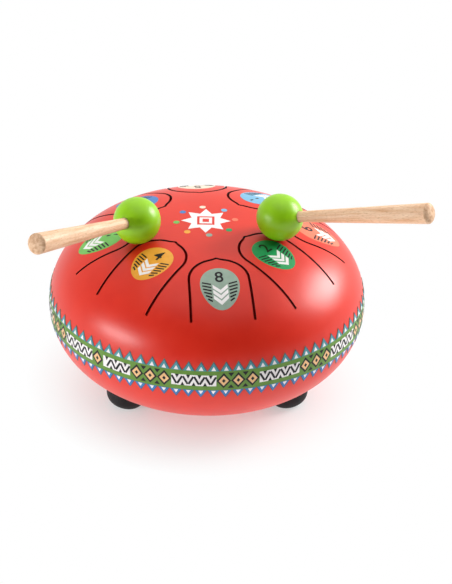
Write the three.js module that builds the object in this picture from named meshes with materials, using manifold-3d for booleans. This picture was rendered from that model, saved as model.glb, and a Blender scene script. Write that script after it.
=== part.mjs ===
// Steel tongue drum: two pressed bowls joined at the rim, eight tongues cut in the top bowl,
// a patterned strip over the joint, three screwed rubber feet and two wooden-handled mallets.
// Millimetres, +Z up, the front of the drum towards -Y. Azimuths are degrees from the front, positive to +X.
import * as THREE from "three";
import { mergeVertices } from "three/addons/utils/BufferGeometryUtils.js";
import Module from "manifold-3d";

// Bowls: both are pressed to one superellipse outline, |r/radius|^rimPower + |z/height|^crownPower = 1
const bowlRadius = 99.3;
const bowlHeight = 55;
const rimPower = 2.715;
const crownPower = 2.108;
const sheet = 1.2;
const bowlSegments = 48;
const bowlSteps = 9;

// Locating lip of the bottom bowl, which stands up inside the rim of the top bowl
const lipHeight = 5;
const lipDepth = 7;
const soundHoleRadius = 20;
const soundHoleSegments = 28;

// Tongues, in order round the drum from the front one towards +X
const tongueTips = [43.4, 29.4, 46.7, 31.8, 44.5, 35.5, 44.2, 33.0];
const tongueTurn = 6.9;
const tongueTipHalfWidth = 17.6;
const tongueRootHalfWidth = 18.6;
const tongueArch = 16.5;
const tongueCusp = 1.2;
const tongueCuspHalfWidth = 3.2;
const tongueRoot = 84;
const slotWidth = 1.6;
const archPoints = 8;

// Patterned strip round the rim, cut to a sawtooth at both edges; one tooth stands at stripToothAzimuth
const stripThickness = 0.4;
const stripToothHeight = 6.1;
const stripTopRoot = 6;
const stripBottomRoot = -7.5;
const stripTeeth = 82;
const stripToothAzimuth = 7.2;
const stripRows = 3;

// Feet: rubber domes on the bottom bowl, each held by a screw from inside into a steel insert
const footCount = 3;
const footAzimuth = 62.5;
const footPlace = 58;
const footRadius = 13;
const footDepth = 13;
const footPower = 2.5;
const floorDrop = 59.5;
const screwRadius = 2;
const screwHeadRadius = 3.6;
const screwHeadHeight = 2.4;
const screwHeadRound = 1;
const screwLength = 9.5;
const washerRadius = 5.5;
const washerThickness = 1;
const washerHollow = 0.4;
const insertRadius = 3.8;
const insertLength = 6;
const insertCover = 1;
const footSegments = 20;
const footSteps = 5;
const fastenerSegments = 12;

// Mallets: a painted ball on a stick that thickens evenly towards its rounded end
const ballRadius = 14.6;
const stickNeckRadius = 3.4;
const stickEndRadius = 6.4;
const stickLength = 104;
const stickDome = 2.8;
const tenonLength = 9;
const ballSegments = 24;
const ballSteps = 11;
const stickSegments = 16;
const domeSteps = 4;
const leftBallPlace = 45.8;
const rightBallPlace = 43.9;
const mallets = [
  { name: "left", place: leftBallPlace, azimuth: -63.7, heading: -34, rise: 15.8 },
  { name: "right", place: rightBallPlace, azimuth: 71.4, heading: 61.1, rise: 16.9 },
];

// Space left between pieces that touch, and the width of the bend line at a tongue's root
const clearance = 0.3;

// Corners closer than this are the same corner
const weldDistance = 1e-4;

const wasm = await Module();
wasm.setup();
const rad = THREE.MathUtils.degToRad;

// Closed solid of a geometry, with its shared vertices merged and collapsed triangles dropped
function solid(geometry) {
  const bare = geometry.clone();
  bare.deleteAttribute("normal");
  bare.deleteAttribute("uv");
  const merged = mergeVertices(bare, weldDistance);
  const corners = merged.index.array;
  const kept = [];
  for (let i = 0; i < corners.length; i += 3) {
    const [a, b, c] = corners.slice(i, i + 3);
    if (a !== b && b !== c && a !== c) {
      kept.push(a, b, c);
    }
  }
  return new wasm.Manifold(
    new wasm.Mesh({
      numProp: 3,
      vertProperties: merged.attributes.position.array,
      triVerts: new Uint32Array(kept),
    }),
  );
}

function geometryOf(body) {
  const mesh = body.getMesh();
  const geometry = new THREE.BufferGeometry();
  geometry.setAttribute("position", new THREE.BufferAttribute(mesh.vertProperties, 3));
  geometry.setIndex(new THREE.BufferAttribute(mesh.triVerts, 1));
  return geometry;
}

// Turned form about +Z from [radius, z] pairs that run up the outside
function turned(profile, segments) {
  const points = profile.map(([radius, z]) => new THREE.Vector2(radius, z));
  return new THREE.LatheGeometry(points, segments).rotateX(Math.PI / 2);
}

function rod(radius, low, high, segments) {
  return turned([[0, low], [radius, low], [radius, high], [0, high]], segments);
}

function ring(outer, inner, low, high, segments) {
  return turned(
    [[inner, low], [outer, low], [outer, high], [inner, high], [inner, low]],
    segments,
  );
}

// Bowl outline grown or shrunk by an offset
function bowlPoint(turn, offset) {
  return [
    (bowlRadius + offset) * Math.sin(turn) ** (2 / rimPower),
    (bowlHeight + offset) * Math.cos(turn) ** (2 / crownPower),
  ];
}

function bowlArc(offset) {
  const points = [];
  for (let i = 0; i <= bowlSteps; i += 1) {
    const turn = ((i / bowlSteps) * Math.PI) / 2;
    points.push(bowlPoint(turn, offset));
  }
  points[0][0] = 0;
  points[bowlSteps][1] = 0;
  return points;
}

function bowlRadiusAt(z, offset) {
  const share = Math.abs(z) / (bowlHeight + offset);
  return (bowlRadius + offset) * (1 - share ** crownPower) ** (1 / rimPower);
}

function bowlHeightAt(radius) {
  return bowlHeight * (1 - (radius / bowlRadius) ** rimPower) ** (1 / crownPower);
}

// Outward direction of the bowl at a radius, as its shares along the radius and along the axis
function bowlNormal(radius) {
  const across = (rimPower / bowlRadius) * (radius / bowlRadius) ** (rimPower - 1);
  const height = bowlHeightAt(radius) / bowlHeight;
  const along = (crownPower / bowlHeight) * height ** (crownPower - 1);
  const length = Math.hypot(across, along);
  return [across / length, along / length];
}

function direction(azimuth) {
  return new THREE.Vector3(Math.sin(rad(azimuth)), -Math.cos(rad(azimuth)), 0);
}

// Outline of a tongue seen from above, at the front, grown sideways by an offset
function tongueOutline(tip, offset, root) {
  const tipWidth = tongueTipHalfWidth + offset;
  const rootWidth = tongueRootHalfWidth + offset;
  const crown = tip - offset;
  const arch = tongueArch - tongueCusp + offset;
  const side = [];
  for (let i = 0; i <= archPoints; i += 1) {
    const start = Math.asin(tongueCuspHalfWidth / tipWidth);
    const turn = start + (i / archPoints) * (Math.PI / 2 - start);
    const along = crown + tongueCusp + arch * (1 - Math.cos(turn));
    side.push([tipWidth * Math.sin(turn), -along]);
  }
  side.push([rootWidth, -root]);
  const shape = new THREE.Shape();
  shape.moveTo(0, -crown);
  side.forEach(([x, y]) => shape.lineTo(x, y));
  side.reverse().forEach(([x, y]) => shape.lineTo(-x, y));
  return shape;
}

function tonguePrism(index, offset, root) {
  const outline = tongueOutline(tongueTips[index], offset, root);
  const height = bowlHeight + sheet;
  const prism = new THREE.ExtrudeGeometry(outline, { depth: height, bevelEnabled: false });
  return solid(prism.rotateZ(rad(tongueAzimuth(index))));
}

function tongueAzimuth(index) {
  return tongueTurn + (index * 360) / tongueTips.length;
}

// Turns a form about +Z so that it stands on the bottom bowl, pointing out of it
function seatOnBottom(geometry, azimuth) {
  const [across, along] = bowlNormal(footPlace);
  const outward = direction(azimuth).multiplyScalar(across);
  outward.z = -along;
  const seat = direction(azimuth).multiplyScalar(footPlace);
  seat.z = -bowlHeightAt(footPlace);
  const turn = new THREE.Quaternion();
  turn.setFromUnitVectors(new THREE.Vector3(0, 0, 1), outward);
  return geometry.applyMatrix4(new THREE.Matrix4().compose(seat, turn, new THREE.Vector3(1, 1, 1)));
}

const paint = { color: 0xe33b28, roughness: 0.35, metalness: 0.1 };
const steel = { color: 0xb8bcc2, roughness: 0.35, metalness: 0.9 };
const print = { color: 0x7fae4a, roughness: 0.5, metalness: 0 };
const rubber = { color: 0x1c1c1c, roughness: 0.85, metalness: 0 };
const lime = { color: 0x8cc814, roughness: 0.35, metalness: 0 };
const beech = { color: 0xe8c096, roughness: 0.6, metalness: 0 };

const drum = new THREE.Group();

function add(parent, name, geometry, look) {
  const mesh = new THREE.Mesh(geometry, new THREE.MeshStandardMaterial(look));
  mesh.name = name;
  parent.add(mesh);
  return mesh;
}

// Top bowl with its eight openings, and the tongues cut from the same pressing
function addTopBowl() {
  const outside = bowlArc(0).reverse();
  const inside = bowlArc(-sheet);
  const pressing = solid(turned([...outside, ...inside, outside[0]], bowlSegments));
  let bowl = pressing;
  for (let index = 0; index < tongueTips.length; index += 1) {
    const opening = tonguePrism(index, slotWidth, tongueRoot + clearance / 2);
    bowl = bowl.subtract(opening);
    const blade = tonguePrism(index, 0, tongueRoot - clearance / 2);
    add(drum, `tongue_${index + 1}`, geometryOf(pressing.intersect(blade)), paint);
  }
  add(drum, "top_shell", geometryOf(bowl), paint);
}

// Bottom bowl with its lip, the sound hole and a screw hole over each foot
function addBottomBowl() {
  const outside = bowlArc(0).map(([radius, z]) => [radius, -z]);
  const lipFoot = bowlRadiusAt(0, -sheet) - clearance;
  const lipTop = bowlRadiusAt(lipHeight, -sheet) - clearance;
  const lip = [
    [lipFoot, 0],
    [lipTop, lipHeight],
    [lipTop - sheet, lipHeight],
    [lipFoot - sheet, 0],
    [bowlRadiusAt(lipDepth, -2 * sheet), -lipDepth],
  ];
  const inside = bowlArc(-sheet)
    .reverse()
    .map(([radius, z]) => [radius, -z])
    .filter(([, z]) => z < -lipDepth - sheet);
  let bowl = solid(turned([...outside, ...lip, ...inside], bowlSegments));
  bowl = bowl.subtract(solid(rod(soundHoleRadius, -bowlHeight - sheet, 0, soundHoleSegments)));
  footAzimuths().forEach((azimuth) => {
    const hole = rod(screwRadius + clearance, -3 * sheet, sheet, fastenerSegments);
    bowl = bowl.subtract(solid(seatOnBottom(hole, azimuth)));
  });
  add(drum, "bottom_shell", geometryOf(bowl), paint);
}

function footAzimuths() {
  const azimuths = [];
  for (let i = 0; i < footCount; i += 1) {
    azimuths.push(footAzimuth + (i * 360) / footCount);
  }
  return azimuths;
}

// Patterned strip: a ring that follows the bowls, with a sawtooth edge above and below
function addStrip() {
  const columns = 2 * stripTeeth;
  const levels = stripRows + 1;
  const positions = [];
  for (let column = 0; column < columns; column += 1) {
    const reach = column % 2 === 0 ? stripToothHeight : 0;
    const top = stripTopRoot + reach;
    const bottom = stripBottomRoot - reach;
    const out = direction(stripToothAzimuth + (column / columns) * 360);
    for (const skin of [clearance, clearance + stripThickness]) {
      for (let row = 0; row <= stripRows; row += 1) {
        const z = bottom + (top - bottom) * (row / stripRows);
        const radius = bowlRadiusAt(z, 0) + skin;
        positions.push(out.x * radius, out.y * radius, z);
      }
    }
  }
  const index = [];
  const corner = (column, skin, row) => ((column % columns) * 2 + skin) * levels + row;
  const quad = (a, b, c, d) => index.push(a, b, c, a, c, d);
  for (let column = 0; column < columns; column += 1) {
    const next = column + 1;
    for (let row = 0; row < stripRows; row += 1) {
      const up = row + 1;
      quad(corner(column, 1, row), corner(next, 1, row), corner(next, 1, up), corner(column, 1, up));
      quad(corner(column, 0, row), corner(column, 0, up), corner(next, 0, up), corner(next, 0, row));
    }
    const top = stripRows;
    quad(corner(column, 1, top), corner(next, 1, top), corner(next, 0, top), corner(column, 0, top));
    quad(corner(column, 0, 0), corner(next, 0, 0), corner(next, 1, 0), corner(column, 1, 0));
  }
  const geometry = new THREE.BufferGeometry();
  geometry.setAttribute("position", new THREE.Float32BufferAttribute(positions, 3));
  geometry.setIndex(index);
  add(drum, "pattern_band", geometry, print);
}

// Foot: a rubber dome bored for the insert, hollowed to the bowl above and cut flat at the floor
function footBody(azimuth, bowlAbove) {
  const pocket = insertRadius + clearance;
  const pocketEnd = insertCover + insertLength + clearance;
  const base = -2 * sheet;
  const profile = [[pocket, base], [footRadius, base]];
  for (let i = 0; i < footSteps; i += 1) {
    const turn = ((i / footSteps) * Math.PI) / 2;
    profile.push([
      footRadius * Math.cos(turn) ** (2 / footPower),
      footDepth * Math.sin(turn) ** (2 / footPower),
    ]);
  }
  profile.push([0, footDepth], [0, pocketEnd], [pocket, pocketEnd], [pocket, base]);
  const dome = solid(seatOnBottom(turned(profile, footSegments), azimuth));
  const span = 4 * bowlRadius;
  const below = new THREE.BoxGeometry(span, span, footDepth).translate(0, 0, -floorDrop - footDepth / 2);
  return dome.subtract(bowlAbove).subtract(solid(below));
}

function addFeet() {
  const grown = bowlArc(clearance).map(([radius, z]) => [radius, -z]);
  const bowlAbove = solid(turned([...grown, [0, 0]], bowlSegments));
  const washerSeat = -sheet - washerHollow - clearance;
  const headSeat = washerSeat - washerThickness - clearance;
  footAzimuths().forEach((azimuth, i) => {
    const number = i + 1;
    add(drum, `foot_${number}`, geometryOf(footBody(azimuth, bowlAbove)), rubber);
    const insert = ring(
      insertRadius,
      screwRadius + clearance,
      insertCover,
      insertCover + insertLength,
      fastenerSegments,
    );
    add(drum, `foot_insert_${number}`, seatOnBottom(insert, azimuth), steel);
    const washer = ring(
      washerRadius,
      screwRadius + clearance,
      washerSeat - washerThickness,
      washerSeat,
      fastenerSegments,
    );
    add(drum, `foot_washer_${number}`, seatOnBottom(washer, azimuth), steel);
    const screw = turned(
      [
        [0, headSeat - screwHeadHeight],
        [screwHeadRadius - screwHeadRound, headSeat - screwHeadHeight],
        [screwHeadRadius, headSeat - screwHeadHeight + screwHeadRound],
        [screwHeadRadius, headSeat],
        [screwRadius, headSeat],
        [screwRadius, headSeat + screwLength],
        [0, headSeat + screwLength],
      ],
      fastenerSegments,
    );
    add(drum, `foot_screw_${number}`, seatOnBottom(screw, azimuth), steel);
  });
}

// Ball with a blind bore along +Z for the tenon of its stick
function ballForm() {
  const bore = stickNeckRadius + clearance;
  const mouth = Math.sqrt(ballRadius ** 2 - bore ** 2);
  const boreEnd = mouth - tenonLength - clearance;
  const start = Math.asin(bore / ballRadius);
  const profile = [];
  for (let i = 0; i <= ballSteps; i += 1) {
    const turn = Math.PI - (i / ballSteps) * (Math.PI - start);
    profile.push([ballRadius * Math.sin(turn), ballRadius * Math.cos(turn)]);
  }
  profile[0][0] = 0;
  profile.push([bore, boreEnd], [0, boreEnd]);
  return turned(profile, ballSegments);
}

function stickForm() {
  const mouth = Math.sqrt(ballRadius ** 2 - (stickNeckRadius + clearance) ** 2);
  const profile = [
    [0, mouth - tenonLength],
    [stickNeckRadius, mouth - tenonLength],
    [stickNeckRadius, mouth],
  ];
  for (let i = 0; i <= domeSteps; i += 1) {
    const turn = ((i / domeSteps) * Math.PI) / 2;
    profile.push([stickEndRadius * Math.cos(turn), stickLength + stickDome * Math.sin(turn)]);
  }
  profile[profile.length - 1][0] = 0;
  return turned(profile, stickSegments);
}

// Each mallet rests its ball on the top bowl, and its stick points outwards past the rim
function addMallets() {
  mallets.forEach(({ name, place, azimuth, heading, rise }) => {
    const [across, along] = bowlNormal(place);
    const off = ballRadius + clearance;
    const mallet = new THREE.Group();
    mallet.position.copy(direction(azimuth)).multiplyScalar(place + across * off);
    mallet.position.z = bowlHeightAt(place) + along * off;
    const stickWay = direction(heading).multiplyScalar(Math.cos(rad(rise)));
    stickWay.z = Math.sin(rad(rise));
    mallet.quaternion.setFromUnitVectors(new THREE.Vector3(0, 0, 1), stickWay);
    add(mallet, `mallet_ball_${name}`, ballForm(), lime);
    add(mallet, `mallet_stick_${name}`, stickForm(), beech);
    drum.add(mallet);
  });
}

addTopBowl();
addBottomBowl();
addStrip();
addFeet();
addMallets();

// The part's origin is the middle of its outline box, on the surface that it stands on
const extent = new THREE.Box3().setFromObject(drum, true);
const middle = extent.getCenter(new THREE.Vector3());
drum.position.set(-middle.x, -middle.y, -extent.min.z);

const part = new THREE.Group();
part.add(drum);

export default part;
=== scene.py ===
"""Looks of a steel tongue drum with two mallets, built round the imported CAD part.

Shapes are worked out in millimetres in the drum's own frame: its axis is +Z, its rim is at Z 0 and its
front is -Y. Azimuths are degrees from the front, positive to +X. build() puts them in the part's frame.
"""
import math

import bmesh
import bpy
from mathutils import Matrix, Vector
from mathutils.geometry import delaunay_2d_cdt


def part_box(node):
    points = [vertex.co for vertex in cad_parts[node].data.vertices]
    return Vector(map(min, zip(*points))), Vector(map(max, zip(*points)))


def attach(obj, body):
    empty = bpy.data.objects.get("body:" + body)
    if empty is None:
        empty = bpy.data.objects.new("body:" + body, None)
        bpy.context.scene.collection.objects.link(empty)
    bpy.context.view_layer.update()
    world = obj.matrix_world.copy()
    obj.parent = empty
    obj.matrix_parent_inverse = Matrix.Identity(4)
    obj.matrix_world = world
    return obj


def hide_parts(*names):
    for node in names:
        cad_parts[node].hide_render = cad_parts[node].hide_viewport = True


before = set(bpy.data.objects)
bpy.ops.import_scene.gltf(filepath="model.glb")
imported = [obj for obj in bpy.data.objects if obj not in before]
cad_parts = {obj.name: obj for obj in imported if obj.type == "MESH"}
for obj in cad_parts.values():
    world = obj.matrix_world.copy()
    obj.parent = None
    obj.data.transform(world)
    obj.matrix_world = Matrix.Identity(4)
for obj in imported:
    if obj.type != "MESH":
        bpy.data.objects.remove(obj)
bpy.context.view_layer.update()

MM = 0.001
SMALL = 1e-6

# Bowls: the rim's centre and the size come from the frame
shell_low, shell_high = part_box("top_shell")
CENTRE = Vector(((shell_low.x + shell_high.x) / 2, (shell_low.y + shell_high.y) / 2, shell_low.z))
BOWL_RADIUS = (shell_high.x - shell_low.x) / 2 / MM
BOWL_HEIGHT = (shell_high.z - shell_low.z) / MM
RIM_POWER = 2.715
CROWN_POWER = 2.108
SHEET = 1.2
BOWL_SEGMENTS = 192
BOWL_STEPS = 44
LIP_HEIGHT = 5
LIP_DEPTH = 7
LIP_GAP = 0.3
SOUND_HOLE_RADIUS = 20
FLOOR_DROP = CENTRE.z / MM
SURFACE_FACING = 0.94

# Tongues, in order round the drum from the front one towards +X
TONGUE_TIPS = (43.4, 29.4, 46.7, 31.8, 44.5, 35.5, 44.2, 33.0)
TONGUE_TURN = 6.9
TONGUE_TIP_HALF_WIDTH = 17.6
TONGUE_ROOT_HALF_WIDTH = 18.6
TONGUE_ARCH = 16.5
TONGUE_CUSP = 1.2
TONGUE_CUSP_HALF_WIDTH = 3.2
TONGUE_ROOT = 84
SLOT_WIDTH = 1.6
TONGUE_COLUMNS = 22
TONGUE_ROWS = 34
ROOT_LAP = 0.5
ROOT_LAP_DEPTH = 0.2

# Rim strip: saw teeth at both edges, butt joined between two teeth. Each printed layer of a tooth
# has its share of the tooth's width and height, and its distance from the tooth's base.
STRIP_TEETH = 82
TOOTH_AZIMUTH = 7.2
TEETH_TO_JOINT = 10.5
STRIP_JOINT = TOOTH_AZIMUTH - TEETH_TO_JOINT * 360 / STRIP_TEETH
HALF_TOOTH = math.radians(180 / STRIP_TEETH) * BOWL_RADIUS
STRIP_TOP = 6.0
STRIP_BOTTOM = -7.5
TOOTH_HEIGHT = 6.1
STRIP_THICKNESS = 0.2
TOOTH_LAYERS = ((0.985, 0.985, 0.0), (0.86, 0.86, 0.0), (0.38, 0.44, 0.3))

# Frieze of the strip: motifs of three lozenges with white fields between them, in degrees round the rim
FRIEZE_PLACE = -19.7
FRIEZE_PERIOD = 31.2
FRIEZE_MOTIF = 15.4
FRIEZE_MIDDLE = -0.6
MOTIF_HEIGHT = 10.8
LOZENGE_BORDER = (1.4, 1.8)
LOZENGE_CORE = (1.1, 1.4)
SPIKE_HEIGHT = 2.6
SPIKE_HALF_WIDTH = 1.9
FIELD_HEIGHT = 7.6
ZIGZAG_BAYS = 8
ZIGZAG_MARGIN = 1.1
ZIGZAG_STROKE = 1.3
ZIGZAG_STROKE_GAP = 0.25
BAY_SPIKE_HALF_WIDTH = 1.2

# Prints: height of one printed layer, and how closely it follows the curved steel
LAYER = 0.05
PRINT_SPACING = 3.0

# Badges on the tongues: an egg with a digit over chevrons, which stand between bars
BADGE_PLACE = 22.5
BADGE_LENGTH = 28.5
BADGE_WIDTH = 24.0
BADGE_TAPER = 0.12
BADGE_POINTS = 48
DIGIT_HEIGHT = 8.0
DIGIT_PLACE = 7.2
DIGIT_WEIGHT = 0.012
CHEVRON_PLACES = (-2.2, -5.6, -9.0)
CHEVRON_HALF_WIDTH = 4.6
CHEVRON_RISE = 3.8
CHEVRON_THICKNESS = 2.4
BAR_PLACES = (3.2, 1.0, -1.2, -3.4, -5.6, -7.8)
BAR_START = 5.4
BAR_MARGIN = 1.3
BAR_DROP = 1.3
BAR_RISE = 0.4
BAR_WIDTH = 0.95

# Medallion in the middle: a star with nested squares in a ring of dots
MEDALLION_PLACE = (-1.5, 0.8)
STAR_POINTS = 8
STAR_REACH = 15.5
STAR_NOTCH = 9.6
SQUARE_HALVES = (5.4, 3.9, 2.0)
DOT_RING = 18.4
DOT_RADIUS = 2.0
DOT_POINTS = 20

# Feet: rubber domes on the bottom bowl, square to it
FOOT_AZIMUTHS = (62.5, 182.5, 302.5)
FOOT_PLACE = 58
FOOT_RADIUS = 13
FOOT_DEPTH = 13
FOOT_POWER = 2.5
FOOT_SEGMENTS = 64
FOOT_STEPS = 20
SCREW_HOLE_RADIUS = 2.3
SCREW_HOLE_SEGMENTS = 24

# Mallets: ball, stick and where each lies
BALL_RADIUS = 14.6
BALL_REST_GAP = 0.3
BALL_SEGMENTS = 72
BALL_STEPS = 40
STICK_NECK_RADIUS = 3.4
STICK_END_RADIUS = 6.4
STICK_LENGTH = 104
STICK_DOME = 2.8
STICK_SEGMENTS = 48
STICK_DOME_STEPS = 12
TENON_LENGTH = 9
TENON_GAP = 0.3
MALLETS = {
    "left": {"place": 45.8, "azimuth": -63.7, "heading": -34, "rise": 15.8},
    "right": {"place": 43.9, "azimuth": 71.4, "heading": 61.1, "rise": 16.9},
}

# Camera: where the photograph was taken from, and its field of view
CAMERA_PLACE = CENTRE + Vector((0, -1.5622, 0.9002))
CAMERA_AZIMUTH = 0.44
CAMERA_ELEVATION = 29.83
CAMERA_ROLL = 1.2
CAMERA_LENS = 175.75
CAMERA_SENSOR = 36
CAMERA_NEAR = 0.1
CAMERA_FAR = 20

# Finishes: how far the gloss varies, grains across one mottle, and height of the relief in metres
ROUGHNESS_SPREAD = 0.05
MOTTLE_GRAINS = 8
RELIEF_HEIGHT = 0.0001

# Floor: it turns from lit floor under the drum into white backdrop round it, so its shadows stay light
FLOOR_HALF_WIDTH = 4000
FLOOR_GAP = 0.00005
FLOOR_COLOUR = (0.92, 0.92, 0.92, 1)
BACKDROP_LEAST = 0.4
BACKDROP_START = 0.05
BACKDROP_FULL = 0.115

# World: white to the camera, a weak even light, and in reflections a warm white that fades to the front
WHITE = (1, 1, 1, 1)
WORLD_LIGHT = 0.07
MIRRORED_COLOUR = (1, 0.93, 0.86, 1)
MIRRORED_NONE_AT = -0.5
MIRRORED_FULL_AT = 0.3
MIRRORED_FULL = 0.85

# Lamps: place and aim in millimetres, size in metres, watts, and whether reflections show it. The fills
# light the shade; the two at the sides make the highlights.
LAMPS = {
    "fill_above": ((100, 200, 1100), (0, 0, 0), (1.6, 1.4), 9.5, False),
    "fill_high": ((0, -250, 1500), (0, 0, 0), (1.2, 0.8), 2, False),
    "fill_behind": ((0, 1200, 900), (0, 0, 0), (1.5, 0.8), 6.5, False),
    "fill_table": ((0, -50, -58.5), (0, -50, 100), (0.6, 0.6), 0.5, False),
    "light_right": ((1030, 440, 560), (0, 0, 0), (0.6, 0.5), 16, True),
    "light_left": ((-1060, -560, 230), (-60, -70, 20), (0.6, 0.12), 8, True),
}


def bowl_point(turn, offset):
    """Radius and height on the bowl's outline grown by an offset; turn is 0 at the crown, 90 at the rim."""
    radius = (BOWL_RADIUS + offset) * math.sin(math.radians(turn)) ** (2 / RIM_POWER)
    height = (BOWL_HEIGHT + offset) * math.cos(math.radians(turn)) ** (2 / CROWN_POWER)
    return radius, height


def bowl_height(radius):
    share = min(radius / BOWL_RADIUS, 1)
    return BOWL_HEIGHT * (1 - share**RIM_POWER) ** (1 / CROWN_POWER)


def bowl_radius(z, offset=0):
    share = abs(z) / (BOWL_HEIGHT + offset)
    return (BOWL_RADIUS + offset) * (1 - share**CROWN_POWER) ** (1 / RIM_POWER)


def bowl_normal(x, y, z):
    """Outward direction of the bowl's outline at a point on or near it."""
    radius = math.hypot(x, y)
    across = RIM_POWER / BOWL_RADIUS * (radius / BOWL_RADIUS) ** (RIM_POWER - 1)
    along = CROWN_POWER / BOWL_HEIGHT * (abs(z) / BOWL_HEIGHT) ** (CROWN_POWER - 1)
    if radius < SMALL:
        return Vector((0, 0, math.copysign(1, z)))
    return Vector((across * x / radius, across * y / radius, math.copysign(along, z))).normalized()


def direction(azimuth):
    return Vector((math.sin(math.radians(azimuth)), -math.cos(math.radians(azimuth)), 0))


def on_top(x, y, lift):
    """Point on the top bowl above a place in plan, lifted off it by some millimetres."""
    z = bowl_height(math.hypot(x, y))
    return Vector((x, y, z)) + bowl_normal(x, y, z) * lift


def build(name, points, faces, materials, looks=None):
    """Object from points in the drum's frame. looks gives each face's material, in the same order."""
    mesh = bpy.data.meshes.new(name)
    mesh.from_pydata([CENTRE + Vector(p) * MM for p in points], [], faces)
    for one in materials:
        mesh.materials.append(one)
    if looks:
        mesh.polygons.foreach_set("material_index", looks)
    mesh.update()
    piece = bpy.data.objects.new(name, mesh)
    bpy.context.scene.collection.objects.link(piece)
    return piece


def lathe(profile, segments):
    """Points and faces of a form turned about +Z.

    A profile is a closed loop, or starts and ends on the axis.
    """
    points = []
    rings = []
    for radius, z in profile:
        if radius < SMALL:
            rings.append([len(points)] * segments)
            points.append(Vector((0, 0, z)))
            continue
        rings.append(list(range(len(points), len(points) + segments)))
        points.extend(direction(i * 360 / segments) * radius + Vector((0, 0, z)) for i in range(segments))
    if rings[0][0] != rings[0][1]:
        rings.append(rings[0])
    faces = []
    for low, high in zip(rings, rings[1:]):
        for i in range(segments):
            j = (i + 1) % segments
            corners = [low[i], low[j], high[j], high[i]]
            faces.append(list(dict.fromkeys(corners)))
    return points, faces


def smooth(piece, angle=40):
    piece.data.shade_smooth()
    piece.data.set_sharp_from_angle(angle=math.radians(angle))


def follow_bowl(piece):
    """Gives a bowl's inside and outside their true direction, so no facet shows.

    Its cut edges keep theirs and get the second finish, a dark painted shade, so the slots look black.
    """
    mesh = piece.data
    mesh.shade_smooth()
    normals = [None] * len(mesh.loops)
    for face in mesh.polygons:
        middle = (face.center - CENTRE) / MM
        face.material_index = 0 if abs(face.normal.dot(bowl_normal(*middle))) > SURFACE_FACING else 1
        for loop in face.loop_indices:
            x, y, z = (mesh.vertices[mesh.loops[loop].vertex_index].co - CENTRE) / MM
            true = bowl_normal(x, y, z)
            facing = face.normal.dot(true)
            if abs(facing) > SURFACE_FACING:
                normals[loop] = true * math.copysign(1, facing)
            else:
                normals[loop] = face.normal
    mesh.normals_split_custom_set(normals)


def cut(piece, *cutters):
    """Takes the cutters out of a piece, which stays one object, and deletes them."""
    for cutter in cutters:
        step = piece.modifiers.new("cut", "BOOLEAN")
        step.operation = "DIFFERENCE"
        step.solver = "EXACT"
        step.object = cutter
    depsgraph = bpy.context.evaluated_depsgraph_get()
    whole = piece.data
    piece.data = bpy.data.meshes.new_from_object(piece.evaluated_get(depsgraph))
    piece.data.name = piece.name
    piece.modifiers.clear()
    bpy.data.meshes.remove(whole)
    for cutter in cutters:
        bpy.data.objects.remove(cutter)


def srgb(red, green, blue):
    """Blender's colour for an ordinary 0 to 255 screen colour."""
    channels = []
    for value in (red, green, blue):
        share = value / 255
        channels.append(share / 12.92 if share <= 0.04045 else ((share + 0.055) / 1.055) ** 2.4)
    return (*channels, 1)


def finish_of(name, colour, second, roughness, grain, bump, metallic=0.0, shine=0.5):
    """Procedural finish: two close colours mottled together, uneven gloss and a fine surface relief.

    grain is the size of the relief in millimetres, bump its strength and shine how much is mirrored.
    """
    material = bpy.data.materials.new(name)
    material.use_nodes = True
    nodes = material.node_tree.nodes
    links = material.node_tree.links
    shader = nodes["Principled BSDF"]
    shader.inputs["Metallic"].default_value = metallic
    shader.inputs["Specular IOR Level"].default_value = shine
    place = nodes.new("ShaderNodeTexCoord")
    mottle = nodes.new("ShaderNodeTexNoise")
    mottle.inputs["Scale"].default_value = 1 / (grain * MM * MOTTLE_GRAINS)
    mottle.inputs["Detail"].default_value = 4
    links.new(place.outputs["Object"], mottle.inputs["Vector"])
    tint = nodes.new("ShaderNodeValToRGB")
    tint.color_ramp.elements[0].position = 0.35
    tint.color_ramp.elements[0].color = second
    tint.color_ramp.elements[1].position = 0.65
    tint.color_ramp.elements[1].color = colour
    links.new(mottle.outputs["Fac"], tint.inputs["Fac"])
    links.new(tint.outputs["Color"], shader.inputs["Base Color"])
    gloss = nodes.new("ShaderNodeMapRange")
    gloss.inputs["To Min"].default_value = roughness - ROUGHNESS_SPREAD
    gloss.inputs["To Max"].default_value = roughness + ROUGHNESS_SPREAD
    links.new(mottle.outputs["Fac"], gloss.inputs["Value"])
    links.new(gloss.outputs["Result"], shader.inputs["Roughness"])
    relief = nodes.new("ShaderNodeTexNoise")
    relief.inputs["Scale"].default_value = 1 / (grain * MM)
    relief.inputs["Detail"].default_value = 2
    links.new(place.outputs["Object"], relief.inputs["Vector"])
    raise_it = nodes.new("ShaderNodeBump")
    raise_it.inputs["Strength"].default_value = bump
    raise_it.inputs["Distance"].default_value = RELIEF_HEIGHT
    links.new(relief.outputs["Fac"], raise_it.inputs["Height"])
    links.new(raise_it.outputs["Normal"], shader.inputs["Normal"])
    return material


RED = finish_of("red_enamel", srgb(222, 43, 21), srgb(218, 39, 19), 0.36, 1.6, 0.25)
# Painted shade: the cut edges and slot walls are a dark red-black that stands in for the shade inside the
# slots
EDGE_SHADE = finish_of("edge_painted_shade", srgb(34, 12, 12), srgb(24, 8, 8), 0.6, 0.5, 0.3)
RUBBER = finish_of("black_rubber", srgb(24, 24, 26), srgb(32, 32, 34), 0.62, 0.5, 0.5, shine=0.3)
ZINC = finish_of("zinc_plate", srgb(196, 198, 204), srgb(178, 180, 188), 0.32, 0.4, 0.2, metallic=1.0)
LIME = finish_of("lime_paint", srgb(150, 210, 12), srgb(142, 202, 10), 0.36, 1.2, 0.2)
END_GRAIN = finish_of("beech_end_grain", srgb(232, 196, 162), srgb(196, 150, 114), 0.6, 0.22, 0.4, shine=0.3)


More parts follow.
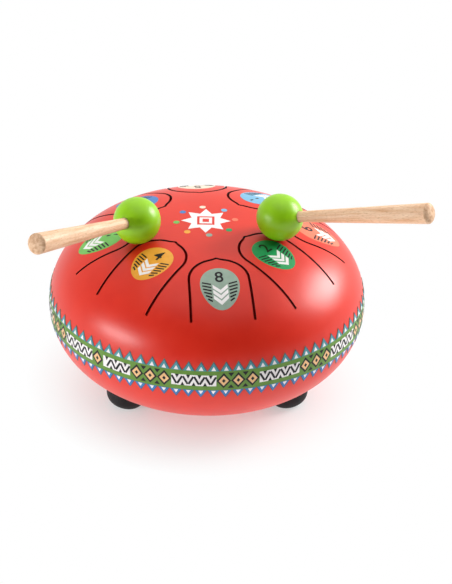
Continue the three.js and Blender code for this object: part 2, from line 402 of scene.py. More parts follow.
def ink(name, colour):
    """Satin printing ink or film of one screen colour."""
    second = [max(value - 8, 0) for value in colour]
    return finish_of(name, srgb(*colour), srgb(*second), 0.42, 0.6, 0.1, shine=0.4)


INK_GREEN = ink("strip_green", (102, 146, 54))
INK_TEAL = ink("strip_teal", (80, 152, 164))
INK_BLUE = ink("strip_blue", (52, 120, 186))
INK_EDGE = ink("strip_edge", (76, 86, 116))
INK_WHITE = ink("print_white", (244, 240, 240))
INK_BLACK = ink("print_black", (18, 16, 26))
INK_TAN = ink("print_tan", (240, 194, 138))

# Badges in the tongues' order, each with its digit and ink
BADGES = (
    ("8", ink("badge_sage", (150, 172, 156))),
    ("2", ink("badge_green", (30, 158, 92))),
    ("6", ink("badge_salmon", (236, 124, 96))),
    ("1", ink("badge_sky", (122, 182, 216))),
    ("5", ink("badge_cream", (240, 222, 200))),
    ("3", ink("badge_blue", (66, 126, 190))),
    ("7", ink("badge_leaf", (116, 190, 92))),
    ("4", ink("badge_amber", (238, 168, 58))),
)


def beech_finish():
    """Beech: pale wood with long soft streaks and short dark flecks that run along the stick.

    The UV map holds millimetres: round the stick in U and along it in V.
    """
    material = bpy.data.materials.new("beech")
    material.use_nodes = True
    nodes = material.node_tree.nodes
    links = material.node_tree.links
    shader = nodes["Principled BSDF"]
    place = nodes.new("ShaderNodeUVMap")
    stretch = nodes.new("ShaderNodeMapping")
    stretch.inputs["Scale"].default_value = (0.55, 0.05, 1)
    links.new(place.outputs["UV"], stretch.inputs["Vector"])
    streaks = nodes.new("ShaderNodeTexNoise")
    streaks.inputs["Scale"].default_value = 1
    streaks.inputs["Detail"].default_value = 5
    links.new(stretch.outputs["Vector"], streaks.inputs["Vector"])
    tint = nodes.new("ShaderNodeValToRGB")
    tint.color_ramp.elements[0].position = 0.3
    tint.color_ramp.elements[0].color = srgb(224, 172, 130)
    tint.color_ramp.elements[1].position = 0.7
    tint.color_ramp.elements[1].color = srgb(248, 214, 180)
    links.new(streaks.outputs["Fac"], tint.inputs["Fac"])
    short = nodes.new("ShaderNodeMapping")
    short.inputs["Scale"].default_value = (2.2, 0.35, 1)
    links.new(place.outputs["UV"], short.inputs["Vector"])
    flecks = nodes.new("ShaderNodeTexNoise")
    flecks.inputs["Scale"].default_value = 1
    flecks.inputs["Detail"].default_value = 2
    links.new(short.outputs["Vector"], flecks.inputs["Vector"])
    pick = nodes.new("ShaderNodeMapRange")
    pick.inputs["From Min"].default_value = 0.55
    pick.inputs["From Max"].default_value = 0.7
    pick.inputs["To Max"].default_value = 0.6
    links.new(flecks.outputs["Fac"], pick.inputs["Value"])
    mix = nodes.new("ShaderNodeMix")
    mix.data_type = "RGBA"
    mix.inputs["B"].default_value = srgb(186, 132, 92)
    links.new(pick.outputs["Result"], mix.inputs["Factor"])
    links.new(tint.outputs["Color"], mix.inputs["A"])
    links.new(mix.outputs["Result"], shader.inputs["Base Color"])
    shader.inputs["Roughness"].default_value = 0.5
    relief = nodes.new("ShaderNodeBump")
    relief.inputs["Strength"].default_value = 0.3
    relief.inputs["Distance"].default_value = RELIEF_HEIGHT
    links.new(flecks.outputs["Fac"], relief.inputs["Height"])
    links.new(relief.outputs["Normal"], shader.inputs["Normal"])
    return material


BEECH = beech_finish()


def tongue_azimuth(index):
    return TONGUE_TURN + index * 360 / len(TONGUE_TIPS)


def tongue_axes(index):
    """Level directions of a tongue: outwards along it, and across it to its right."""
    out = direction(tongue_azimuth(index))
    return out, Vector((-out.y, out.x, 0))


def tongue_start(across, tip, offset=0.0):
    """How far out a tongue starts, at some distance to the side of its middle line."""
    width = TONGUE_TIP_HALF_WIDTH + offset
    arch = TONGUE_ARCH - TONGUE_CUSP + offset
    cusp_turn = math.asin(TONGUE_CUSP_HALF_WIDTH / width)
    shoulder = TONGUE_CUSP + arch * (1 - math.cos(cusp_turn))
    if abs(across) < TONGUE_CUSP_HALF_WIDTH:
        return tip - offset + shoulder * abs(across) / TONGUE_CUSP_HALF_WIDTH
    turn = math.asin(min(abs(across) / width, 1))
    return tip - offset + TONGUE_CUSP + arch * (1 - math.cos(turn))


def tongue_half_width(along, tip):
    """Half a tongue's width, which grows from the end of its arch to its root."""
    start = tip + TONGUE_ARCH
    share = max(along - start, 0) / (TONGUE_ROOT - start)
    return TONGUE_TIP_HALF_WIDTH + (TONGUE_ROOT_HALF_WIDTH - TONGUE_TIP_HALF_WIDTH) * share


def tongue_grid(tip):
    """Rows of places (across, along) that cover a tongue from its tip to its root."""
    rows = []
    for row in range(TONGUE_ROWS + 1):
        places = []
        for column in range(-TONGUE_COLUMNS, TONGUE_COLUMNS + 1):
            side = math.sin(math.radians(90 * column / TONGUE_COLUMNS))
            start = tongue_start(side * TONGUE_TIP_HALF_WIDTH, tip)
            along = start + (TONGUE_ROOT - start) * row / TONGUE_ROWS
            places.append((side * tongue_half_width(along, tip), along))
        rows.append(places)
    return rows


def add_tongue(index):
    """One tongue: a curved sheet that meets the bowl at its root, where a thin tab laps under the bowl."""
    out, right = tongue_axes(index)
    rows = tongue_grid(TONGUE_TIPS[index])
    last = rows[-1]
    rows.append([(across, along + ROOT_LAP) for across, along in last])
    lifts = [0.0] * (TONGUE_ROWS + 1) + [-ROOT_LAP_DEPTH]
    points = []
    for skin in (0, 1):
        for places, lift in zip(rows, lifts):
            for across, along in places:
                spot = out * along + right * across
                depth = -SHEET - lift if skin else lift
                points.append(on_top(spot.x, spot.y, depth))
    wide = 2 * TONGUE_COLUMNS + 1
    tall = len(rows)
    under = tall * wide
    faces = []
    for row in range(tall - 1):
        for column in range(wide - 1):
            a = row * wide + column
            b = a + wide
            faces.append((a, b, b + 1, a + 1))
            faces.append((a + under, a + under + 1, b + under + 1, b + under))
    border = list(range(wide))
    border += [row * wide + wide - 1 for row in range(1, tall)]
    border += [(tall - 1) * wide + column for column in range(wide - 2, -1, -1)]
    border += [row * wide for row in range(tall - 2, 0, -1)]
    for a, b in zip(border, border[1:] + border[:1]):
        faces.append((a, b, b + under, a + under))
    name = f"tongue_{index + 1}"
    piece = build(f"{name}_blade", points, faces, [RED, EDGE_SHADE])
    follow_bowl(piece)
    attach(piece, name)
    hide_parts(name)


def slot_cutter(index):
    """Upright prism over the opening of one tongue."""
    out, right = tongue_axes(index)
    tip = TONGUE_TIPS[index]
    width = TONGUE_TIP_HALF_WIDTH + SLOT_WIDTH
    outline = [(TONGUE_ROOT_HALF_WIDTH + SLOT_WIDTH, TONGUE_ROOT)]
    for column in range(TONGUE_COLUMNS, -TONGUE_COLUMNS - 1, -1):
        across = width * math.sin(math.radians(90 * column / TONGUE_COLUMNS))
        outline.append((across, tongue_start(across, tip, SLOT_WIDTH)))
    outline.append((-TONGUE_ROOT_HALF_WIDTH - SLOT_WIDTH, TONGUE_ROOT))
    count = len(outline)
    points = []
    for z in (1, BOWL_HEIGHT + SHEET):
        points.extend(out * along + right * across + Vector((0, 0, z)) for across, along in outline)
    faces = [list(range(count)), list(range(2 * count - 1, count - 1, -1))]
    for i in range(count):
        j = (i + 1) % count
        faces.append((j, i, i + count, j + count))
    piece = build("slot_cutter", points, faces, [RED])
    make_faces_point_out(piece)
    return piece


def make_faces_point_out(piece):
    mesh = bmesh.new()
    mesh.from_mesh(piece.data)
    bmesh.ops.recalc_face_normals(mesh, faces=mesh.faces)
    mesh.to_mesh(piece.data)
    mesh.free()


def bowl_arc(offset):
    return [bowl_point(90 * i / BOWL_STEPS, offset) for i in range(BOWL_STEPS + 1)]


def add_top_bowl():
    outside = bowl_arc(0)
    inside = bowl_arc(-SHEET)
    outside[0] = (0, BOWL_HEIGHT)
    inside[0] = (0, BOWL_HEIGHT - SHEET)
    outside[-1] = (BOWL_RADIUS, 0)
    inside[-1] = (BOWL_RADIUS - SHEET, 0)
    points, faces = lathe(outside + inside[::-1], BOWL_SEGMENTS)
    piece = build("top_bowl", points, faces, [RED, EDGE_SHADE])
    make_faces_point_out(piece)
    cut(piece, *(slot_cutter(index) for index in range(len(TONGUE_TIPS))))
    follow_bowl(piece)
    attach(piece, "drum")
    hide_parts("top_shell")


def foot_frame(azimuth):
    """Matrix from a foot's own frame, with +Z out of the bottom bowl, to the drum's frame."""
    seat = direction(azimuth) * FOOT_PLACE
    seat.z = -bowl_height(FOOT_PLACE)
    outward = bowl_normal(*seat)
    turn = Vector((0, 0, 1)).rotation_difference(outward).to_matrix().to_4x4()
    return Matrix.Translation(seat) @ turn


def add_bottom_bowl():
    arc = [(radius, -z) for radius, z in bowl_arc(0) if radius > SOUND_HOLE_RADIUS]
    inner = [(radius, -z) for radius, z in bowl_arc(-SHEET) if radius > SOUND_HOLE_RADIUS]
    inner = [(radius, z) for radius, z in inner if z < -LIP_DEPTH - SHEET]
    edge = -bowl_height(SOUND_HOLE_RADIUS)
    arc[-1] = (BOWL_RADIUS, 0)
    lip_foot = BOWL_RADIUS - SHEET - LIP_GAP
    lip_top = bowl_radius(LIP_HEIGHT, -SHEET) - LIP_GAP
    lip = [
        (lip_foot, 0),
        (lip_top, LIP_HEIGHT),
        (lip_top - SHEET, LIP_HEIGHT),
        (lip_foot - SHEET, 0),
        (bowl_radius(LIP_DEPTH, -2 * SHEET), -LIP_DEPTH),
    ]
    hole = [(SOUND_HOLE_RADIUS, edge + SHEET), (SOUND_HOLE_RADIUS, edge)]
    points, faces = lathe(hole[1:] + arc + lip + inner[::-1] + hole[:1], BOWL_SEGMENTS)
    piece = build("bottom_bowl", points, faces, [RED, EDGE_SHADE])
    make_faces_point_out(piece)
    cutters = []
    for azimuth in FOOT_AZIMUTHS:
        ends = [(0, -3 * SHEET), (SCREW_HOLE_RADIUS, -3 * SHEET), (SCREW_HOLE_RADIUS, SHEET), (0, SHEET)]
        points, faces = lathe(ends, SCREW_HOLE_SEGMENTS)
        cutter = build("screw_hole", [foot_frame(azimuth) @ p for p in points], faces, [RED])
        make_faces_point_out(cutter)
        cutters.append(cutter)
    cut(piece, *cutters)
    follow_bowl(piece)
    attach(piece, "drum")
    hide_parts("bottom_shell")


def turn_left(outline):
    """The outline in the order that has its inside on the left."""
    area = 0
    for (x, y), (next_x, next_y) in zip(outline, [*outline[1:], outline[0]]):
        area += x * next_y - next_x * y
    return list(outline) if area > 0 else list(outline)[::-1]


def split_edges(outline, spacing):
    """Outline with its long edges divided, so that it can follow a curved surface."""
    points = []
    for start, end in zip(outline, outline[1:] + outline[:1]):
        start, end = Vector(start), Vector(end)
        steps = max(1, math.ceil((end - start).length / spacing))
        points.extend(start.lerp(end, i / steps) for i in range(steps))
    return points


class Print:
    """Thin printed layers on a curved surface, gathered into one piece."""

    def __init__(self, surface):
        self.surface = surface
        self.points = []
        self.faces = []
        self.looks = []
        self.materials = []

    def layer(self, outlines, material, level, thickness=LAYER):
        """Prints outlines that don't overlap, from the surface up to the level's top."""
        if material not in self.materials:
            self.materials.append(material)
        corners = []
        loops = []
        for outline in outlines:
            points = split_edges(turn_left(outline), PRINT_SPACING)
            loops.append(list(range(len(corners), len(corners) + len(points))))
            corners.extend(points)
        low = Vector((min(p.x for p in corners), min(p.y for p in corners)))
        high = Vector((max(p.x for p in corners), max(p.y for p in corners)))
        across = int((high.x - low.x) / PRINT_SPACING)
        along = int((high.y - low.y) / PRINT_SPACING)
        for i in range(1, across + 1):
            for j in range(1, along + 1):
                corners.append(low + Vector((i, j)) * PRINT_SPACING)
        spots, _, triangles, _, _, sources = delaunay_2d_cdt(corners, [], loops, 0, 1e-5, True)
        inside = [triangle for triangle, source in zip(triangles, sources) if source]
        self.plate(spots, inside, material, level, thickness)

    def plate(self, spots, triangles, material, level, thickness=LAYER):
        if material not in self.materials:
            self.materials.append(material)
        used = sorted({i for triangle in triangles for i in triangle})
        place = {spot: i for i, spot in enumerate(used)}
        count = len(used)
        base = len(self.points)
        top = level * LAYER + thickness
        self.points.extend(self.surface(*spots[i], top) for i in used)
        self.points.extend(self.surface(*spots[i], 0) for i in used)
        edges = {}
        faces = []
        for triangle in triangles:
            corners = [base + place[i] for i in triangle]
            faces.append(corners)
            faces.append([i + count for i in reversed(corners)])
            for a, b in zip(corners, corners[1:] + corners[:1]):
                edges[(a, b)] = (b, a) in edges
                if edges[(a, b)]:
                    edges[(b, a)] = True
        for (a, b), shared in edges.items():
            if not shared:
                faces.append([b, a, a + count, b + count])
        self.faces.extend(faces)
        self.looks.extend([self.materials.index(material)] * len(faces))

    def finish(self, name, body):
        piece = build(name, self.points, self.faces, self.materials, self.looks)
        make_faces_point_out(piece)
        smooth(piece, 30)
        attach(piece, body)
        return piece


def around_rim(arc, z, lift):
    """Place on the rim: arc is millimetres round it from the front, z the height."""
    return direction(math.degrees(arc / BOWL_RADIUS)) * (bowl_radius(z) + lift) + Vector((0, 0, z))


def rim_arc(azimuth):
    return math.radians(azimuth) * BOWL_RADIUS


def tooth_triangles(edge, way, half_width, height, inset=0.0):
    """Triangles on an edge of the strip; way is 1 for the top edge and -1 for the bottom one."""
    triangles = []
    for i in range(STRIP_TEETH):
        middle = rim_arc(STRIP_JOINT + (i + 0.5) * 360 / STRIP_TEETH)
        base = edge + way * inset
        tip = (middle, base + way * height)
        triangles.append([(middle - half_width, base), (middle + half_width, base), tip])
    return triangles


def strip_outline():
    """Saw-toothed outline of the whole strip, laid flat from one side of its joint to the other."""
    edges = []
    for edge, way in ((STRIP_BOTTOM, -1), (STRIP_TOP, 1)):
        line = []
        for low, high, tip in tooth_triangles(edge, way, HALF_TOOTH, TOOTH_HEIGHT):
            line.extend([low, tip])
        line.append(high)
        edges.append(line)
    bottom, top = edges
    return bottom + top[::-1]


def bar(start, end, width):
    """Four corners of a straight stroke."""
    start, end = Vector(start), Vector(end)
    side = (end - start).orthogonal().normalized() * width / 2
    return [start - side, end - side, end + side, start + side]


def lozenge(x, half_width, half_height):
    """Lozenge on the middle line of the frieze."""
    z = FRIEZE_MIDDLE
    return [(x - half_width, z), (x, z - half_height), (x + half_width, z), (x, z + half_height)]


def between_joints(outlines):
    """The outlines that lie whole on the strip, which ends on both sides of its joint."""
    start, end = rim_arc(STRIP_JOINT), rim_arc(STRIP_JOINT + 360)
    return [outline for outline in outlines if all(start <= x <= end for x, _ in outline)]


def spike(x, edge, way, half_width):
    """Small triangle that points inwards from an edge; way is 1 for a top edge and -1 for a bottom one."""
    return [(x - half_width, edge), (x + half_width, edge), (x, edge - way * SPIKE_HEIGHT)]


def add_strip():
    """Rim strip: green film with blue and white teeth, tan lozenges and zigzag fields."""
    strip = Print(around_rim)
    strip.layer([strip_outline()], INK_GREEN, 0, STRIP_THICKNESS)
    ground = STRIP_THICKNESS / LAYER
    for edge, way, film in ((STRIP_BOTTOM, -1, INK_BLUE), (STRIP_TOP, 1, INK_TEAL)):
        for level, colour in enumerate((INK_EDGE, film, INK_WHITE)):
            width, height, inset = TOOTH_LAYERS[level]
            teeth = tooth_triangles(edge, way, HALF_TOOTH * width, TOOTH_HEIGHT * height, inset)
            strip.layer(teeth, colour, ground + level)
    start, end = rim_arc(STRIP_JOINT), rim_arc(STRIP_JOINT + 360)
    period = rim_arc(FRIEZE_PERIOD)
    motif = rim_arc(FRIEZE_MOTIF)
    wide = motif / 3
    fields, zigzags, outer, inner, cores, spikes = [], [], [], [], [], []
    motif_x = rim_arc(FRIEZE_PLACE) - period
    while motif_x < end + period:
        left = motif_x + motif / 2
        right = left + period - motif
        clipped = max(left, start), min(right, end)
        if clipped[1] - clipped[0] > 1:
            corners = zip(clipped + clipped[::-1], (-1, -1, 1, 1))
            fields.append([(x, FRIEZE_MIDDLE + way * FIELD_HEIGHT / 2) for x, way in corners])
        zigzags.extend(zigzag_field(left, right))
        for i in (-1, 0, 1):
            half_width, half_height = wide / 2, MOTIF_HEIGHT / 2
            x = motif_x + i * wide
            outer.append(lozenge(x, half_width, half_height))
            inner.append(lozenge(x, half_width - LOZENGE_BORDER[0], half_height - LOZENGE_BORDER[1]))
            cores.append(lozenge(x, *LOZENGE_CORE))
        for i in (-1, 1):
            for way in (-1, 1):
                edge = FRIEZE_MIDDLE + way * MOTIF_HEIGHT / 2
                spikes.append(spike(motif_x + i * wide / 2, edge, way, SPIKE_HALF_WIDTH))
        motif_x += period
    strip.layer(fields, INK_WHITE, ground)
    strip.layer(between_joints(zigzags), INK_BLACK, ground + 1)
    strip.layer(between_joints(outer), INK_BLACK, ground)
    strip.layer(between_joints(spikes), INK_BLACK, ground)
    strip.layer(between_joints(inner), INK_TAN, ground + 1)
    strip.layer(between_joints(cores), INK_BLACK, ground + 2)
    piece = strip.finish("rim_strip", "drum")
    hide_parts("pattern_band")


def zigzag_field(left, right):
    """Black strokes of one white field: a zigzag line with a small triangle in each of its bays."""
    step = (right - left) / ZIGZAG_BAYS
    reach = FIELD_HEIGHT / 2 - ZIGZAG_MARGIN
    outlines = []
    for i in range(ZIGZAG_BAYS):
        x = left + i * step
        way = 1 if i % 2 else -1
        start = (x + ZIGZAG_STROKE_GAP, FRIEZE_MIDDLE - way * reach)
        end = (x + step - ZIGZAG_STROKE_GAP, FRIEZE_MIDDLE + way * reach)
        outlines.append(bar(start, end, ZIGZAG_STROKE))
        if i:
            outlines.append(spike(x, FRIEZE_MIDDLE + way * FIELD_HEIGHT / 2, way, BAY_SPIKE_HALF_WIDTH))
    return outlines


def dot(x, y):
    angles = [2 * math.pi * i / DOT_POINTS for i in range(DOT_POINTS)]
    return [(x + DOT_RADIUS * math.cos(angle), y + DOT_RADIUS * math.sin(angle)) for angle in angles]


def square(half):
    return [(half, half), (-half, half), (-half, -half), (half, -half)]


def star():
    outline = []
    for i in range(2 * STAR_POINTS):
        radius = STAR_NOTCH if i % 2 else STAR_REACH
        angle = math.pi * i / STAR_POINTS
        outline.append((radius * math.cos(angle), radius * math.sin(angle)))
    return outline


def add_medallion():
    """White eight-pointed star of nested squares in the middle, in a ring of coloured dots."""

    def around_middle(x, y, lift):
        return on_top(x + MEDALLION_PLACE[0], y + MEDALLION_PLACE[1], lift)

    medallion = Print(around_middle)
    medallion.layer([star()], INK_WHITE, 0)
    for level, half in enumerate(SQUARE_HALVES, 1):
        medallion.layer([square(half)], RED if level % 2 else INK_WHITE, level)
    for i, (_, colour) in enumerate(BADGES):
        spot = direction(tongue_azimuth(i)) * DOT_RING
        medallion.layer([dot(spot.x, spot.y)], colour, 0)
    medallion.finish("medallion", "drum")


def digit_plate(text):
    """Flat outline of a plain digit, as points and triangles about its own middle."""
    curve = bpy.data.curves.new("digit", "FONT")
    curve.body = text
    curve.resolution_u = 6
    curve.offset = DIGIT_WEIGHT
    flat = bpy.data.objects.new("digit", curve)
    mesh = bpy.data.meshes.new_from_object(flat)
    form = bmesh.new()
    form.from_mesh(mesh)
    bmesh.ops.remove_doubles(form, verts=form.verts, dist=1e-5)
    bmesh.ops.triangulate(form, faces=form.faces)
    low = Vector((min(v.co.x for v in form.verts), min(v.co.y for v in form.verts)))
    high = Vector((max(v.co.x for v in form.verts), max(v.co.y for v in form.verts)))
    middle = (low + high) / 2
    scale = DIGIT_HEIGHT / (high.y - low.y)
    spots = [(v.co.xy - middle) * scale for v in form.verts]
    triangles = [[v.index for v in face.verts] for face in form.faces]
    form.free()
    bpy.data.meshes.remove(mesh)
    bpy.data.objects.remove(flat)
    bpy.data.curves.remove(curve)
    return spots, triangles


def egg_point(turn):
    """Point on the outline of a badge; turn is 0 at its outer end."""
    widen = 1 + BADGE_TAPER * math.cos(turn)
    return BADGE_WIDTH / 2 * math.sin(turn) * widen, BADGE_LENGTH / 2 * math.cos(turn)


def chevron(y):
    """Outline of a chevron whose notch is at a height on the badge."""
    line = [(-CHEVRON_HALF_WIDTH, y + CHEVRON_RISE), (0, y), (CHEVRON_HALF_WIDTH, y + CHEVRON_RISE)]
    return line + [(x, height - CHEVRON_THICKNESS) for x, height in reversed(line)]


def add_badge(index):
    """Egg-shaped note badge: a plain digit over stacked white chevrons between short black bars."""
    out, right = tongue_axes(index)
    place = TONGUE_TIPS[index] + BADGE_PLACE

    def on_tongue(x, y, lift):
        spot = out * (place - y) + right * x
        return on_top(spot.x, spot.y, lift)

    number, colour = BADGES[index]
    badge = Print(on_tongue)
    badge.layer([[egg_point(2 * math.pi * i / BADGE_POINTS) for i in range(BADGE_POINTS)]], colour, 0)
    badge.layer([chevron(y) for y in CHEVRON_PLACES], INK_WHITE, 1)
    bars = []
    for y in BAR_PLACES:
        reach = egg_point(math.acos(2 * y / BADGE_LENGTH))[0] - BAR_MARGIN
        for side in (-1, 1):
            bars.append(bar((side * BAR_START, y - BAR_DROP), (side * reach, y + BAR_RISE), BAR_WIDTH))
    badge.layer(bars, INK_BLACK, 1)
    spots, triangles = digit_plate(number)
    badge.plate([spot + Vector((0, DIGIT_PLACE)) for spot in spots], triangles, INK_BLACK, 1)
    badge.finish(f"badge_{index + 1}", f"tongue_{index + 1}")


def add_foot(number, azimuth):
    """Rubber dome from the bowl down to the floor, where it is flat."""
    seat = foot_frame(azimuth)
    points = []
    for step in range(FOOT_STEPS + 1):
        turn = math.radians(90 * step / FOOT_STEPS)
        radius = FOOT_RADIUS * math.cos(turn) ** (2 / FOOT_POWER)
        depth = FOOT_DEPTH * math.sin(turn) ** (2 / FOOT_POWER)
        for i in range(FOOT_SEGMENTS):
            angle = 2 * math.pi * i / FOOT_SEGMENTS
            point = seat @ Vector((radius * math.cos(angle), radius * math.sin(angle), depth))
            if step == 0:
                point.z = -bowl_height(math.hypot(point.x, point.y))
            point.z = max(point.z, -FLOOR_DROP)
            points.append(point)
    faces = []
    for step in range(FOOT_STEPS):
        for i in range(FOOT_SEGMENTS):
            j = (i + 1) % FOOT_SEGMENTS
            a, b = step * FOOT_SEGMENTS, (step + 1) * FOOT_SEGMENTS
            faces.append((a + i, a + j, b + j, b + i))
    faces.append([FOOT_STEPS * FOOT_SEGMENTS + i for i in range(FOOT_SEGMENTS)])
    faces.append(list(reversed(range(FOOT_SEGMENTS))))
    piece = build(f"foot_{number}_dome", points, faces, [RUBBER])
    form = bmesh.new()
    form.from_mesh(piece.data)
    bmesh.ops.remove_doubles(form, verts=form.verts, dist=2e-5)
    bmesh.ops.recalc_face_normals(form, faces=form.faces)
    form.to_mesh(piece.data)
    form.free()
    smooth(piece, 35)
    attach(piece, "drum")
    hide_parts(f"foot_{number}")


def mallet_frame(lay):
    """Matrix from a mallet's own frame, with its ball at the origin and its stick along +Z."""
    seat = direction(lay["azimuth"]) * lay["place"]
    seat.z = bowl_height(lay["place"])
    centre = seat + bowl_normal(*seat) * (BALL_RADIUS + BALL_REST_GAP)
    way = direction(lay["heading"]) * math.cos(math.radians(lay["rise"]))
    way.z = math.sin(math.radians(lay["rise"]))
    turn = Vector((0, 0, 1)).rotation_difference(way).to_matrix().to_4x4()
    return Matrix.Translation(centre) @ turn


def add_mallet(name, lay):
    """Painted ball, bored for the tenon, and a beech stick that swells to a rounded end."""
    place = mallet_frame(lay)
    bore = STICK_NECK_RADIUS + TENON_GAP
    mouth = math.sqrt(BALL_RADIUS**2 - bore**2)
    start = math.degrees(math.asin(bore / BALL_RADIUS))
    bore_end = mouth - TENON_LENGTH - TENON_GAP
    profile = [(0, bore_end), (bore, bore_end)]
    for i in range(BALL_STEPS + 1):
        turn = math.radians(start + i * (180 - start) / BALL_STEPS)
        profile.append((BALL_RADIUS * math.sin(turn), BALL_RADIUS * math.cos(turn)))
    profile[-1] = (0, -BALL_RADIUS)
    points, faces = lathe(profile, BALL_SEGMENTS)
    ball = build(f"ball_{name}", [place @ p for p in points], faces, [LIME])
    make_faces_point_out(ball)
    smooth(ball)
    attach(ball, f"mallet_{name}")
    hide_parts(f"mallet_ball_{name}")

    tenon = mouth - TENON_LENGTH
    profile = [(0, tenon), (STICK_NECK_RADIUS, tenon), (STICK_NECK_RADIUS, mouth)]
    for i in range(STICK_DOME_STEPS + 1):
        turn = math.radians(90 * i / STICK_DOME_STEPS)
        profile.append((STICK_END_RADIUS * math.cos(turn), STICK_LENGTH + STICK_DOME * math.sin(turn)))
    profile[-1] = (0, STICK_LENGTH + STICK_DOME)
    points, faces = lathe(profile, STICK_SEGMENTS)
    looks = [1 if min(points[i].z for i in face) >= STICK_LENGTH - SMALL else 0 for face in faces]
    stick = build(f"stick_{name}", [place @ p for p in points], faces, [BEECH, END_GRAIN], looks)
    grain = stick.data.uv_layers.new(name="UVMap")
    for face_number, face in enumerate(stick.data.polygons):
        last_segment = face_number % STICK_SEGMENTS == STICK_SEGMENTS - 1
        for loop, corner in zip(face.loop_indices, faces[face_number]):
            point = points[corner]
            turn = math.atan2(point.x, -point.y) / (2 * math.pi) % 1
            if last_segment and turn < 0.5:
                turn += 1
            grain.data[loop].uv = (turn * 2 * math.pi * STICK_END_RADIUS, point.z)
    make_faces_point_out(stick)
    smooth(stick, 50)
    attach(stick, f"mallet_{name}")
    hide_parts(f"mallet_stick_{name}")


def dress_fasteners():
    """The inserts, washers and screws keep their CAD shape and get a zinc finish."""
    for name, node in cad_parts.items():
        if name.startswith(("foot_insert", "foot_washer", "foot_screw")):
            node.data.materials.clear()
            node.data.materials.append(ZINC)


def add_camera():
    camera = bpy.data.objects.new("camera", bpy.data.cameras.new("camera"))
    bpy.context.scene.collection.objects.link(camera)
    camera.data.lens = CAMERA_LENS
    camera.data.sensor_width = CAMERA_SENSOR
    camera.data.clip_start = CAMERA_NEAR
    camera.data.clip_end = CAMERA_FAR
    turn = math.radians(CAMERA_AZIMUTH)
    climb = math.radians(CAMERA_ELEVATION)
    level_reach = math.cos(climb)
    forward = Vector((math.sin(turn) * level_reach, math.cos(turn) * level_reach, -math.sin(climb)))
    level = forward.cross(Vector((0, 0, 1))).normalized()
    right = Matrix.Rotation(-math.radians(CAMERA_ROLL), 3, forward) @ level
    up = right.cross(forward)
    axes = Matrix((right, up, -forward)).transposed()
    camera.matrix_world = Matrix.Translation(CAMERA_PLACE) @ axes.to_4x4()
    bpy.context.scene.camera = camera


def either(nodes, links, one, other):
    """Socket that is 1 where one of two sockets is 1."""
    largest = nodes.new("ShaderNodeMath")
    largest.operation = "MAXIMUM"
    links.new(one, largest.inputs[0])
    links.new(other, largest.inputs[1])
    return largest.outputs["Value"]


def in_reflection(nodes, links, way):
    """Socket that is 1 for what is seen in a reflection or through glass."""
    return either(nodes, links, way.outputs["Is Glossy Ray"], way.outputs["Is Transmission Ray"])


def add_floor():
    """White studio floor: part of its white is backdrop, so the drum's shadow on it stays light."""
    points = [Vector((x, y, -FLOOR_DROP)) for x, y in square(FLOOR_HALF_WIDTH)]
    white = bpy.data.materials.new("studio_floor")
    white.use_nodes = True
    nodes = white.node_tree.nodes
    links = white.node_tree.links
    shader = nodes["Principled BSDF"]
    shader.inputs["Base Color"].default_value = FLOOR_COLOUR
    shader.inputs["Roughness"].default_value = 0.35
    backdrop = nodes.new("ShaderNodeEmission")
    backdrop.inputs["Color"].default_value = WHITE
    backdrop.inputs["Strength"].default_value = 1
    place = nodes.new("ShaderNodeTexCoord")
    away = nodes.new("ShaderNodeVectorMath")
    away.operation = "DISTANCE"
    away.inputs[1].default_value = (CENTRE.x, CENTRE.y, 0)
    rise = nodes.new("ShaderNodeMapRange")
    rise.inputs["From Min"].default_value = BACKDROP_START
    rise.inputs["From Max"].default_value = BACKDROP_FULL
    rise.inputs["To Min"].default_value = BACKDROP_LEAST
    way = nodes.new("ShaderNodeLightPath")
    share = nodes.new("ShaderNodeMath")
    share.operation = "MULTIPLY"
    choose = nodes.new("ShaderNodeMixShader")
    links.new(place.outputs["Object"], away.inputs[0])
    links.new(away.outputs["Value"], rise.inputs["Value"])
    links.new(rise.outputs["Result"], share.inputs[0])
    mirrored = in_reflection(nodes, links, way)
    links.new(either(nodes, links, way.outputs["Is Camera Ray"], mirrored), share.inputs[1])
    links.new(share.outputs["Value"], choose.inputs["Fac"])
    links.new(shader.outputs["BSDF"], choose.inputs[1])
    links.new(backdrop.outputs["Emission"], choose.inputs[2])
    links.new(choose.outputs["Shader"], nodes["Material Output"].inputs["Surface"])
    floor = build("studio_floor", points, [(0, 1, 2, 3)], [white])
    floor.location.z -= FLOOR_GAP


def add_softbox(name, place, aim, size, power, reflected):
    """Rectangular soft light; place and aim are millimetres in the drum's frame."""
    light = bpy.data.objects.new(name, bpy.data.lights.new(name, "AREA"))
    bpy.context.scene.collection.objects.link(light)
    light.data.shape = "RECTANGLE"
    light.data.size, light.data.size_y = size
    light.data.energy = power
    light.visible_glossy = reflected
    light.visible_camera = False
    light.location = CENTRE + Vector(place) * MM
    aim_at = CENTRE + Vector(aim) * MM
    light.rotation_mode = "QUATERNION"
    light.rotation_quaternion = (aim_at - light.location).to_track_quat("-Z", "Y")


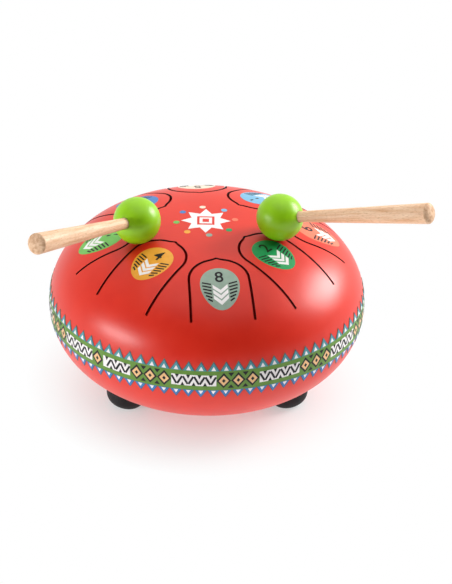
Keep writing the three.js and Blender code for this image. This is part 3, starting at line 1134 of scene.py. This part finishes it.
def add_world():
    world = bpy.data.worlds.new("studio")
    bpy.context.scene.world = world
    world.use_nodes = True
    nodes = world.node_tree.nodes
    links = world.node_tree.links
    nodes.clear()
    seen = nodes.new("ShaderNodeBackground")
    seen.inputs["Color"].default_value = WHITE
    seen.inputs["Strength"].default_value = 1
    lit = nodes.new("ShaderNodeBackground")
    lit.inputs["Color"].default_value = WHITE
    lit.inputs["Strength"].default_value = WORLD_LIGHT
    mirrored = nodes.new("ShaderNodeBackground")
    mirrored.inputs["Color"].default_value = MIRRORED_COLOUR
    place = nodes.new("ShaderNodeTexCoord")
    axes = nodes.new("ShaderNodeSeparateXYZ")
    fade = nodes.new("ShaderNodeMapRange")
    fade.inputs["From Min"].default_value = MIRRORED_NONE_AT
    fade.inputs["From Max"].default_value = MIRRORED_FULL_AT
    fade.inputs["To Max"].default_value = MIRRORED_FULL
    links.new(place.outputs["Generated"], axes.inputs["Vector"])
    links.new(axes.outputs["Y"], fade.inputs["Value"])
    links.new(fade.outputs["Result"], mirrored.inputs["Strength"])
    way = nodes.new("ShaderNodeLightPath")
    unseen = nodes.new("ShaderNodeMixShader")
    links.new(in_reflection(nodes, links, way), unseen.inputs["Fac"])
    links.new(lit.outputs["Background"], unseen.inputs[1])
    links.new(mirrored.outputs["Background"], unseen.inputs[2])
    choose = nodes.new("ShaderNodeMixShader")
    output = nodes.new("ShaderNodeOutputWorld")
    links.new(way.outputs["Is Camera Ray"], choose.inputs["Fac"])
    links.new(unseen.outputs["Shader"], choose.inputs[1])
    links.new(seen.outputs["Background"], choose.inputs[2])
    links.new(choose.outputs["Shader"], output.inputs["Surface"])


add_camera()
add_top_bowl()
add_bottom_bowl()
for tongue in range(len(TONGUE_TIPS)):
    add_tongue(tongue)
    add_badge(tongue)
add_medallion()
add_strip()
for foot, foot_azimuth in enumerate(FOOT_AZIMUTHS, 1):
    add_foot(foot, foot_azimuth)
for side_name, side_lay in MALLETS.items():
    add_mallet(side_name, side_lay)
dress_fasteners()
add_floor()
add_world()
for lamp_name, lamp in LAMPS.items():
    add_softbox(lamp_name, *lamp)
bpy.context.scene.view_settings.view_transform = "Standard"

bpy.context.view_layer.update()
